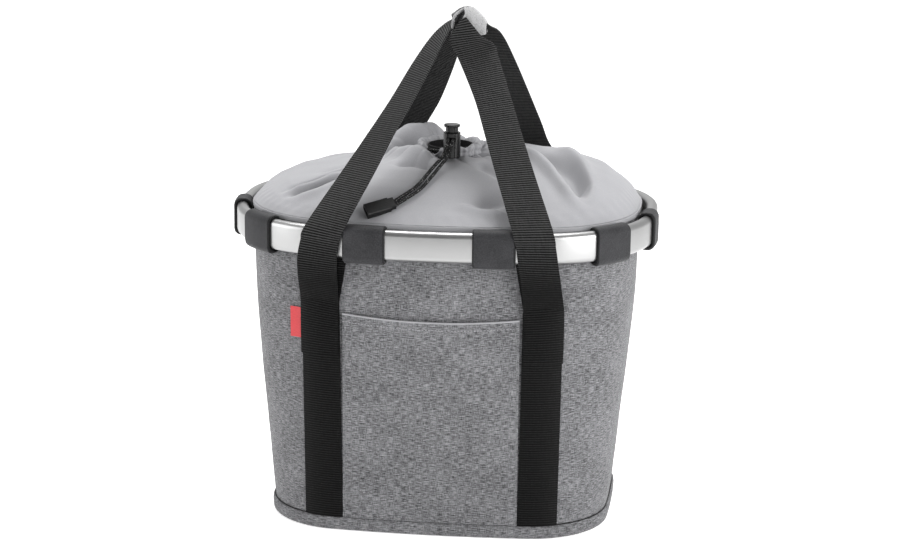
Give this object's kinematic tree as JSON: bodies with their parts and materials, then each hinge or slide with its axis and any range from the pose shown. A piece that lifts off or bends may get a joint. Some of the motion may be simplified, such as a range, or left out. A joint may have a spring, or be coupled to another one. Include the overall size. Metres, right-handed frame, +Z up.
{
  "type": "handlebar basket",
  "caption": "Oval fabric basket hung in a tubular rail, with webbing carry handles, a front pocket and a drawstring cover, for a handlebar adapter.",
  "frame": {"origin": "centre of the flat underside of the base", "axes": "+Z up, -Y the front with the pocket, +Y the side facing the handlebar, +X to the right seen from the front"},
  "size_m": [0.3552, 0.2631, 0.4236],
  "materials": {
    "melange_fabric": "woven, matt, mottled grey",
    "base_fabric": "coated, matt",
    "stiffener_board": "matt",
    "binding_tape": "woven tape, matt",
    "cover_fabric": "thin nylon, soft sheen",
    "label_ribbon": "satin ribbon, plain",
    "loop_webbing": "dense, satin",
    "black_webbing": "ribbed, satin",
    "cuff_fleece": "brushed, matt",
    "anodised_aluminium": "anodised, satin",
    "joiner_aluminium": "mill finish",
    "rivet_steel": "plated",
    "braided_cord": "braided, light flecks",
    "lock_plastic": "gloss black",
    "end_rubber": "matt black",
    "spring_steel": "drawn wire",
    "plate_plastic": "moulded, fine grain",
    "screw_steel": "zinc plated"
  },
  "bodies": {
    "basket": {"frame_rail": "anodised_aluminium", "rail_joiner": "joiner_aluminium", "rail_joiner_rivets": "rivet_steel", "front_panel": "melange_fabric", "back_panel": "melange_fabric", "left_panel": "melange_fabric", "right_panel": "melange_fabric", "base_panel": "base_fabric", "base_board": "stiffener_board", "base_welt": "melange_fabric", "back_stiffener": "stiffener_board", "top_binding": "binding_tape", "front_pocket": "melange_fabric", "pocket_hem": "melange_fabric", "side_label": "label_ribbon", "cover": "cover_fabric", "rail_loop_front_left": "loop_webbing", "rail_loop_front_right": "loop_webbing", "rail_loop_left_front_corner": "loop_webbing", "rail_loop_right_front_corner": "loop_webbing", "rail_loop_left_end": "loop_webbing", "rail_loop_right_end": "loop_webbing", "rail_loop_left_back_corner": "loop_webbing", "rail_loop_right_back_corner": "loop_webbing", "rail_loop_back_left": "loop_webbing", "rail_loop_back_right": "loop_webbing", "wall_strap_front_left": "black_webbing", "wall_strap_front_right": "black_webbing", "wall_strap_back_left": "black_webbing", "wall_strap_back_right": "black_webbing", "handle_anchor_front_left": "black_webbing", "handle_anchor_front_right": "black_webbing", "handle_anchor_back_left": "black_webbing", "handle_anchor_back_right": "black_webbing", "adapter_plate": "plate_plastic", "backing_plate": "plate_plastic", "plate_screws": "screw_steel", "plate_nuts": "screw_steel"},
    "front_handle": {"front_handle": "black_webbing"},
    "back_handle": {"back_handle": "black_webbing", "grip_cuff": "cuff_fleece"},
    "grip_flap": {"grip_flap": "cuff_fleece"},
    "cover_mouth": {"mouth_hem": "cover_fabric", "drawcord": "braided_cord"},
    "cord_lock": {"lock_barrel": "lock_plastic", "lock_spring": "spring_steel"},
    "lock_button": {"lock_plunger": "lock_plastic"},
    "cord_tail": {"cord_tail_left": "braided_cord", "cord_tail_right": "braided_cord", "cord_end": "end_rubber"}
  },
  "joints": [
    {"name": "front_handle_fold", "type": "hinge", "parent": "basket", "child": "front_handle", "pos_m": [0, -0.121, 0.236], "axis": [1, 0, 0], "range_deg": [0, 175]},
    {"name": "back_handle_fold", "type": "hinge", "parent": "basket", "child": "back_handle", "pos_m": [0, 0.121, 0.236], "axis": [-1, 0, 0], "range_deg": [0, 175]},
    {"name": "grip_flap_open", "type": "hinge", "parent": "back_handle", "child": "grip_flap", "pos_m": [0.016, 0, 0.4238], "axis": [-1, 0, 0], "range_deg": [0, 120]},
    {"name": "cover_push_in", "type": "slide", "parent": "basket", "child": "cover_mouth", "axis": [0, 0, -1], "range_m": [0, 0.06], "deforming": ["cover"]},
    {"name": "cord_lock_slide", "type": "slide", "parent": "cover_mouth", "child": "cord_lock", "axis": [0, -1, 0], "range_m": [0, 0.008]},
    {"name": "lock_button_press", "type": "slide", "parent": "cord_lock", "child": "lock_button", "axis": [0, 0, -1], "range_m": [0, 0.004], "stiffness_N_per_m": 400, "springref_m": -0.003, "deforming": ["lock_spring"]},
    {"name": "cord_tail_swing", "type": "hinge", "parent": "cord_lock", "child": "cord_tail", "pos_m": [0.0073, -0.0435, 0.3196], "axis": [-0.2891, 0.7776, -0.5583], "range_deg": [0, 44]}
  ],
  "couplings": [
    {"joint": "cord_tail_swing", "follows": "cover_push_in", "rad_per_m": 12.799}
  ]
}
